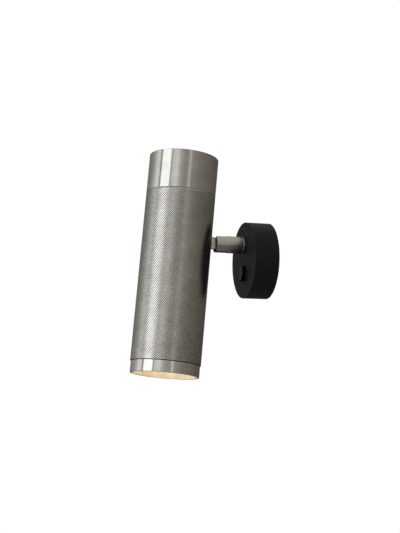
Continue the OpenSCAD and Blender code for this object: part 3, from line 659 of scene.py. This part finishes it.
@dataclass
class SwivelArm:
    """The forked bar and its fixed collar, sizes in mm, out from the wall along Z."""

    radius: float = 7.45
    canopy_depth: float = 21.4
    collar_end: float = 23.7
    start: float = 23.8
    end: float = 47.3
    pivot_out: float = 42.0
    fork_floor: float = 36.5
    fork_gap: float = 6.5
    spigot_radius: float = 6.0
    flat_half: float = 5.2
    flat_end: float = 19.9
    bore_radius: float = 3.9
    tail: float = 13.2
    head_floor: float = 5.25
    head_radius: float = 2.8
    pin_radius: float = 1.53

    def arm(self) -> bpy.types.Object:
        """The bar with its spigot, cut to a fork and sunk for the head of the pivot screw."""
        piece = turned(
            "arm_bar",
            [(self.spigot_radius, self.tail), (self.spigot_radius, self.start), (self.radius, self.start),
             (self.radius, self.end), (self.bore_radius, self.end), (self.bore_radius, self.tail),
             (self.spigot_radius, self.tail)],
            sides=512,
        )
        piece.name = "arm_bar"
        filler = rod("fill", self.bore_radius + 0.05, Vector((0, 0, self.fork_floor)), Vector((0, 0, self.end)), 128)
        cut(piece, filler, "UNION")
        long = self.flat_end - self.tail + 1
        for side in (-1, 1):
            cut(piece, bar("flat", (4, 30, long), (side * (self.flat_half + 2), 0, self.flat_end - long / 2)))
        deep = self.end - self.fork_floor + 4
        cut(piece, bar("slot", (self.fork_gap, 40, deep), (0, 0, self.fork_floor + deep / 2)))
        out = self.pivot_out
        cut(piece, rod("pin", self.pin_radius, Vector((-20, 0, out)), Vector((6.5, 0, out)), 48))
        cut(piece, rod("sink", self.head_radius, Vector((-20, 0, out)), Vector((-self.head_floor, 0, out)), 64))
        soften(piece, 0.22, segments=2)
        return piece

    def collar(self) -> bpy.types.Object:
        """The fixed collar between the arm and the canopy."""
        bore = self.spigot_radius + 0.1
        piece = turned(
            "arm_collar_metal",
            [(bore, self.canopy_depth), (self.radius, self.canopy_depth), (self.radius, self.collar_end),
             (bore, self.collar_end), (bore, self.canopy_depth)],
            sides=256,
        )
        soften(piece, 0.2, segments=2)
        return piece

    def build(self) -> None:
        """Makes the arm and its collar, puts them in place and hands them over."""
        metal = SATIN_NICKEL.build()
        arm = self.arm()
        deliver(arm, ARM, metal, "arm", "arm")
        floor, half = self.fork_floor * MM, self.fork_gap / 2 * MM
        # Painted shade: the slot walls and the fork's end faces get a dark colour for the shadow in the gap
        dress_inside(
            arm, ARM, SHADED_FORK.build(),
            lambda c, n: c.z > floor - MM and (abs(n.z) > 0.9 or (abs(n.x) > 0.9 and abs(c.x) < half * 1.05)),
        )
        deliver(self.collar(), ARM, metal, "wall_base", "arm_collar")


# --------------------------------------------------------------------------- the canopy and its switch


@dataclass
class WallCanopy:
    """The black canopy with the bezel and the rocker of its switch, sizes in mm."""

    radius: float = 33.2
    depth: float = 21.4
    wall: float = 1.5
    arm_up: float = 13.3
    hole_radius: float = 6.1
    switch_down: float = 12.0
    switch_half_w: float = 3.8
    switch_half_h: float = 6.5
    switch_wall: float = 0.6
    bezel_lip: float = 0.6
    bezel_t: float = 0.35
    rocker_half_h: float = 6.2
    rocker_w: float = 7.3
    rocker_out: float = 20.4
    rocker_face: float = 4.5
    rocker_dish: float = 0.7
    rocker_corner: float = 0.5
    rocker_taper: float = 0.3
    rocker_under: float = 2.2
    axle_radius: float = 1.0
    axle_half: float = 4.35
    peg_up: float = 2.7
    peg_radius: float = 1.0
    peg_height: float = 1.4
    rest_turn: float = -6.0

    def canopy(self) -> bpy.types.Object:
        """The cup of the canopy, cut for the arm, the switch and the two grub screws."""
        r, bore, floor = self.radius, self.radius - self.wall, self.depth - self.wall
        piece = turned(
            "canopy_cup", [(bore, floor), (bore, 0), (r, 0), (r, self.depth)],
            sides=256, close_start=True, close_end=True,
        )
        cut(piece, rod("hole", self.hole_radius, Vector((0, self.arm_up, 15)), Vector((0, self.arm_up, 25)), 64))
        w = 2 * (self.switch_half_w + self.switch_wall + 0.1)
        h = 2 * (self.switch_half_h + self.switch_wall + 0.1)
        cut(piece, bar("window", (w, h, 10), (0, -self.switch_down, self.depth)))
        peg = rod(
            "peg", self.peg_radius, Vector((0, self.peg_up, floor - self.peg_height)),
            Vector((0, self.peg_up, floor + self.wall / 2)), 32,
        )
        cut(piece, peg, "UNION")
        for side in (-1, 1):
            cut(piece, rod("screw", 1.6, Vector((0, side * 30, 6)), Vector((0, side * 36, 6)), 32))
        soften(piece, 0.5, segments=3, smooth_deg=30)
        return piece

    def bezel(self) -> bpy.types.Object:
        """The flange of the switch: a plate with rounded corners and a window."""
        half_w = self.switch_half_w + self.switch_wall + self.bezel_lip
        half_h = self.switch_half_h + self.switch_wall + self.bezel_lip
        deselect()
        bpy.ops.mesh.primitive_plane_add(size=1, location=(0, -self.switch_down * MM, self.depth * MM))
        piece = bpy.context.object
        piece.name = "switch_bezel_frame"
        piece.scale = (2 * half_w * MM, 2 * half_h * MM, 1)
        bpy.ops.object.transform_apply(location=True, rotation=True, scale=True)
        edit(piece)
        bpy.ops.mesh.bevel(affect="VERTICES", offset=0.6 * MM, segments=5)
        bpy.ops.mesh.select_all(action="SELECT")
        bpy.ops.mesh.extrude_region_move(TRANSFORM_OT_translate={"value": (0, 0, self.bezel_t * MM)})
        bpy.ops.object.mode_set(mode="OBJECT")
        finish_mesh(piece)
        window = (2 * self.switch_half_w, 2 * self.switch_half_h, 10)
        cut(piece, bar("window", window, (0, -self.switch_down, self.depth)))
        soften(piece, 0.18, segments=2)
        return piece

    def rocker(self) -> bpy.types.Object:
        """The rocker: a key that narrows inwards, with a hollow ground into its face, and its axle."""
        half, face, under = self.rocker_half_h, self.rocker_face, self.rocker_under
        piece = bar("rocker_key", (self.rocker_w, 2 * half, face + under), (0, 0, (face - under) / 2))
        edit(piece)
        bpy.ops.mesh.bisect(plane_co=(0, 0, 0), plane_no=(0, 0, 1))
        pick_faces(piece, lambda side: side.normal.z < -0.9)
        narrow = (half - self.rocker_taper) / half
        bpy.ops.transform.resize(value=(1, narrow, 1), center_override=(0, 0, 0))
        chord = half - self.rocker_corner
        hollow = (chord ** 2 + self.rocker_dish ** 2) / (2 * self.rocker_dish)
        centre = face - self.rocker_dish + hollow
        cut(piece, rod("hollow", hollow, Vector((-8, 0, centre)), Vector((8, 0, centre)), 512))
        soften(piece, 0.35, segments=3, smooth_deg=25)
        cut(piece, rod("axle", self.axle_radius, Vector((-self.axle_half, 0, 0)), Vector((self.axle_half, 0, 0)), 32),
            "UNION")
        place(
            piece,
            Matrix.Translation((0, -self.switch_down * MM, self.rocker_out * MM))
            @ Matrix.Rotation(math.radians(self.rest_turn), 4, "X"),
        )
        return piece

    def build(self) -> None:
        """Makes the canopy, the bezel and the rocker and hands them over."""
        deliver(self.canopy(), OFF_WALL, POWDER_COAT.build(), "wall_base", "canopy")
        deliver(self.bezel(), OFF_WALL, BLACK_NYLON.build(), "wall_base", "switch_bezel")
        rocker = self.rocker()
        deliver(rocker, OFF_WALL, GLOSS_ABS.build(), "rocker", "rocker")
        # Painted shade on the rocker's sides: a near black colour for their shadow
        dress_inside(rocker, OFF_WALL, ROCKER_SIDE_SHADE.build(), lambda c, n: abs(n.z) < 0.7)


# --------------------------------------------------------------------------- the parts whose solids stay


@dataclass
class Fittings:
    """The parts whose solids are right as they are, each with its finish."""

    finishes: tuple[tuple[Finish, tuple[str, ...]], ...] = (
        (MILLED_NICKEL, ("hinge_tongue",)),
        (SATIN_NICKEL, ("pivot_screw",)),
        (DRAWN_TUBE, ("lamp_tube",)),
        (ZINC, ("wall_plate", "arm_nut", "stop_washer", "holder_bracket", "holder_screws",
                "tongue_screws", "earth_screw", "block_screw", "terminal_screws")),
        (BLUED_SPRING, ("disc_spring",)),
        (BLACK_OXIDE, ("canopy_screws",)),
        (RUBBER, ("cable_grommet",)),
        (BLACK_NYLON, ("switch_housing", "centring_ring")),
        (BRASS, ("terminal_barrels", "switch_blades", "holder_contacts")),
        (TINNED, ("earth_tag", "lamp_pins")),
        (WHITE_NYLON, ("terminal_block",)),
        (ACETAL, ("pivot_washers",)),
        (STEATITE, ("lamp_holder",)),
        (BROWN_PVC, ("live_leads",)),
        (BLUE_PVC, ("neutral_lead",)),
        (GREEN_PVC, ("earth_lead",)),
        (SILICONE, ("arm_leads", "head_leads")),
        (LAMP_BODY, ("lamp_body",)),
    )

    def build(self) -> None:
        """Gives each kept solid the material of its finish."""
        for finish, nodes in self.finishes:
            material = finish.build()
            for name in nodes:
                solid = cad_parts[name]
                for slot_ in solid.material_slots:
                    slot_.material = material
                if not solid.material_slots:
                    solid.data.materials.append(material)
                LOG.info("%s: %s", name, finish.name)


def deliver(piece: bpy.types.Object, where: Matrix, material: bpy.types.Material, body: str,
            node: str) -> None:
    """Puts a made piece in its place, dresses it and lets it stand for its CAD node.

    Args:
        piece: the piece as it was made.
        where: the frame that it was made in.
        material: its finish.
        body: the body that it rides on.
        node: the CAD node that it replaces.
    """
    place(piece, where)
    piece.data.materials.clear()
    piece.data.materials.append(material)
    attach(piece, body)
    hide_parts(node)
    LOG.info("%s: %d faces, on %s", piece.name, len(piece.data.polygons), body)


def dress_inside(piece: bpy.types.Object, where: Matrix, material: bpy.types.Material,
                 test: Callable[[Vector, Vector], bool]) -> None:
    """Gives the faces that pass a test a second material: another finish, or painted shade.

    Args:
        piece: the piece, in its place.
        where: the frame that it was made in.
        material: the second material, a finish or painted shade.
        test: says of a face's middle and normal, in that frame, whether it is meant.
    """
    back = where.inverted()
    piece.data.materials.append(material)
    for face in piece.data.polygons:
        if test(back @ face.center, back.to_3x3() @ face.normal):
            face.material_index = 1


# --------------------------------------------------------------------------- camera, light and floor


@dataclass
class Studio:
    """Camera, dome, lamps, floor and white surroundings, in metres and degrees."""

    azimuth: float = 74.11
    elevation: float = -9.43
    distance: float = 0.98062
    roll: float = -0.36
    focal_px: float = 1136.27
    frame_px: tuple[int, int] = (400, 533)
    target: Vector = Vector((0, -0.06113, -0.00691))
    dome_radius: float = 1.9
    ceiling: float = 0.66
    floor_in_gloss: float = 0.16
    # Grey of the studio round the object, by degrees from the camera's line: what a tube
    # mirrors from its left edge to its right one, as the photo shows it
    round_about: tuple[tuple[float, float], ...] = (
        (-180, 0.20), (-150, 0.25), (-133, 0.36), (-117, 0.52), (-104, 0.84), (-94, 1.25), (-81, 1.25),
        (-80, 0.42), (-74, 0.42), (-73, 2.15), (-41, 2.15), (-40, 0.46), (-36, 0.50), (-35, 0.95),
        (-24, 1.10), (-15, 1.12), (-10, 0.82), (-2, 0.59), (6, 0.49), (15, 0.46), (20, 0.50), (21, 0.86),
        (28, 0.84), (29, 0.50), (42, 0.41), (58, 0.32), (80, 0.25), (103, 0.21), (125, 0.165), (145, 0.13),
        (180, 0.08),
    )
    # How that grey falls off below the horizon, by degrees of height
    by_height: tuple[tuple[float, float], ...] = (
        (-90, 0.2), (-45, 0.32), (-25, 0.45), (-12, 0.75), (-3, 1.05), (4, 1.18), (14, 1.0), (90, 1.0),
    )

    def back(self) -> Vector:
        """The direction from the target to the camera."""
        a, e = math.radians(self.azimuth), math.radians(self.elevation)
        return Vector((math.sin(a) * math.cos(e), -math.cos(a) * math.cos(e), math.sin(e)))

    def camera(self) -> None:
        """Sets the camera at the photograph's angle and framing."""
        data = bpy.data.cameras.new("camera")
        data.sensor_fit = "VERTICAL"
        data.sensor_height = 36
        data.lens = self.focal_px * 36 / self.frame_px[1]
        data.clip_start, data.clip_end = 0.01, 50
        camera = bpy.data.objects.new("camera", data)
        bpy.context.collection.objects.link(camera)
        back = self.back()
        a = math.radians(self.azimuth)
        right = Vector((math.cos(a), math.sin(a), 0))
        up = back.cross(right)
        r = math.radians(self.roll)
        right, up = right * math.cos(r) + up * math.sin(r), up * math.cos(r) - right * math.sin(r)
        turn = Matrix((right, up, back)).transposed().to_4x4()
        camera.matrix_world = Matrix.Translation(self.target + back * self.distance) @ turn
        bpy.context.scene.camera = camera

    def dome(self) -> None:
        """The studio as gloss sees it: a dome of greys round the object, with a paler ceiling."""
        deselect()
        bpy.ops.mesh.primitive_uv_sphere_add(
            segments=64, ring_count=32, radius=self.dome_radius, location=(0, self.target.y, 0)
        )
        dome = bpy.context.object
        dome.name = "studio_dome"
        bpy.ops.object.transform_apply(location=True, rotation=True, scale=True)
        material = bpy.data.materials.new("studio_dome")
        material.use_nodes = True
        material.node_tree.nodes.clear()
        where = add_node(material, "ShaderNodeTexCoord")
        local = add_node(
            material, "ShaderNodeMapping",
            {0: where.outputs["Object"], 1: (0, self.target.y, 0),
             2: (0, 0, math.radians(self.azimuth - 90))}, vector_type="TEXTURE",
        )
        turn = add_node(material, "ShaderNodeTexGradient", {0: local.outputs[0]}, gradient_type="RADIAL")
        around = add_node(material, "ShaderNodeValToRGB", {0: turn.outputs[1]})
        top = 1.1 * max(level for _, level in self.round_about)
        self.stops(around, [(a / 360 + 0.5, [c / top for c in self.tinted(v)]) for a, v in self.round_about])
        parts = add_node(material, "ShaderNodeSeparateXYZ", {0: local.outputs[0]})
        rise = add_node(
            material, "ShaderNodeMath", {0: parts.outputs[2], 1: self.dome_radius}, operation="DIVIDE"
        )
        height = add_node(material, "ShaderNodeMath", {0: rise.outputs[0]}, operation="ARCSINE")
        share = add_node(
            material, "ShaderNodeMapRange", {0: height.outputs[0], 1: -math.pi / 2, 2: math.pi / 2}
        )
        fall = add_node(material, "ShaderNodeValToRGB", {0: share.outputs[0]})
        self.stops(fall, [(a / 180 + 0.5, [v / 2] * 3) for a, v in self.by_height])
        wall = add_node(
            material, "ShaderNodeMix", {0: 1.0, 6: around.outputs[0], 7: fall.outputs[0]},
            data_type="RGBA", blend_type="MULTIPLY",
        )
        overhead = add_node(
            material, "ShaderNodeMapRange",
            {0: height.outputs[0], 1: math.radians(24), 2: math.radians(44)}, interpolation_type="SMOOTHSTEP",
        )
        level = self.ceiling / (2 * top)
        seen = add_node(
            material, "ShaderNodeMix", {0: overhead.outputs[0], 6: wall.outputs[2], 7: (level, level, level, 1)},
            data_type="RGBA",
        )
        glow = add_node(material, "ShaderNodeEmission", {0: seen.outputs[2], 1: 2 * top})
        add_node(material, "ShaderNodeOutputMaterial", {0: glow.outputs[0]})
        dome.data.materials.append(material)
        dome.visible_camera = dome.visible_diffuse = dome.visible_shadow = False
        dome.visible_transmission = dome.visible_volume_scatter = False

    @staticmethod
    def tinted(level: float) -> list[float]:
        """A grey of the studio with its cast: the dark parts of it are warm and the lamps are cool."""
        cool = min(max((level - 0.1) / 1.1, 0.0), 1.0)
        warm, pale = (1.06, 1.01, 0.86), (0.95, 1.02, 1.09)
        return [level * (w + (p - w) * cool ** 0.6) for w, p in zip(warm, pale)]

    @staticmethod
    def stops(ramp: bpy.types.ShaderNode, marks: Sequence[tuple[float, Sequence[float]]]) -> None:
        """Sets the marks of a ramp: each a place and a colour, from 0 to 1."""
        elements = ramp.color_ramp.elements
        for _ in range(len(marks) - 2):
            elements.new(0.5)
        for element, (position, colour) in zip(elements, marks):
            element.position = position
            element.color = (*colour, 1)

    def lamps(self) -> None:
        """Soft key lamp from the room side, a fill by the camera and one overhead."""
        for name, where, size, watts in (
            ("key", (0.4, -1.5, 0.6), 1.2, 14.0), ("fill", (1.5, -0.3, 0.2), 1.2, 2.3),
            ("top", (0.1, -0.3, 1.6), 1.2, 3.0),
        ):
            data = bpy.data.lights.new(name, "AREA")
            data.size = size
            data.energy = watts
            lamp = bpy.data.objects.new(name, data)
            bpy.context.collection.objects.link(lamp)
            lamp.location = where
            lamp.rotation_euler = (self.target - Vector(where)).to_track_quat("-Z", "Y").to_euler()
            lamp.visible_glossy = False

    def surroundings(self) -> None:
        """White all round for the camera, gloss and glass, and a plain level for the rest."""
        world = bpy.data.worlds.new("surroundings")
        bpy.context.scene.world = world
        world.use_nodes = True
        world.node_tree.nodes.clear()
        path = add_node(world, "ShaderNodeLightPath")
        seen = add_node(
            world, "ShaderNodeMath",
            {0: path.outputs["Is Camera Ray"], 1: path.outputs["Is Glossy Ray"]}, operation="MAXIMUM",
        )
        seen = add_node(
            world, "ShaderNodeMath", {0: seen.outputs[0], 1: path.outputs["Is Transmission Ray"]},
            operation="MAXIMUM",
        )
        level = add_node(world, "ShaderNodeMapRange", {0: seen.outputs[0], 3: 0.2, 4: 1.0})
        sky = add_node(world, "ShaderNodeBackground", {0: (1, 1, 1, 1), 1: level.outputs[0]})
        add_node(world, "ShaderNodeOutputWorld", {0: sky.outputs[0]})

    def floor(self) -> None:
        """A pale floor under the object that keeps its shadow."""
        deselect()
        bpy.ops.mesh.primitive_circle_add(vertices=96, radius=2.2, fill_type="NGON", location=(0, 0, -0.42))
        disc = bpy.context.object
        disc.name = "floor"
        bpy.ops.object.transform_apply(location=True, rotation=True, scale=True)
        material = bpy.data.materials.new("pale_floor")
        material.use_nodes = True
        material.node_tree.nodes.clear()
        path = add_node(material, "ShaderNodeLightPath")
        seen = add_node(
            material, "ShaderNodeMath",
            {0: path.outputs["Is Camera Ray"], 1: path.outputs["Is Glossy Ray"]}, operation="MAXIMUM",
        )
        share = add_node(material, "ShaderNodeMath", {0: seen.outputs[0], 1: 0.8}, operation="MULTIPLY")
        matte = add_node(material, "ShaderNodeBsdfDiffuse", {0: (0.85, 0.85, 0.85, 1)})
        level = add_node(
            material, "ShaderNodeMapRange", {0: path.outputs["Is Glossy Ray"], 3: 1.0, 4: self.floor_in_gloss}
        )
        white = add_node(material, "ShaderNodeEmission", {0: (1, 1, 1, 1), 1: level.outputs[0]})
        mixed = add_node(material, "ShaderNodeMixShader", {0: share.outputs[0], 1: matte.outputs[0], 2: white.outputs[0]})
        add_node(material, "ShaderNodeOutputMaterial", {0: mixed.outputs[0]})
        disc.data.materials.append(material)

    def build(self) -> None:
        """Sets up the whole studio."""
        self.camera()
        self.surroundings()
        self.dome()
        self.lamps()
        self.floor()
        bpy.context.scene.view_settings.view_transform = "Standard"


def main() -> None:
    """Builds the studio and the part."""
    logging.basicConfig(level=logging.INFO, format="%(name)s %(message)s")
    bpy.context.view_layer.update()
    Studio().build()
    TubeHead().build()
    SwivelArm().build()
    WallCanopy().build()
    Fittings().build()


if __name__ == "__main__":
    main()
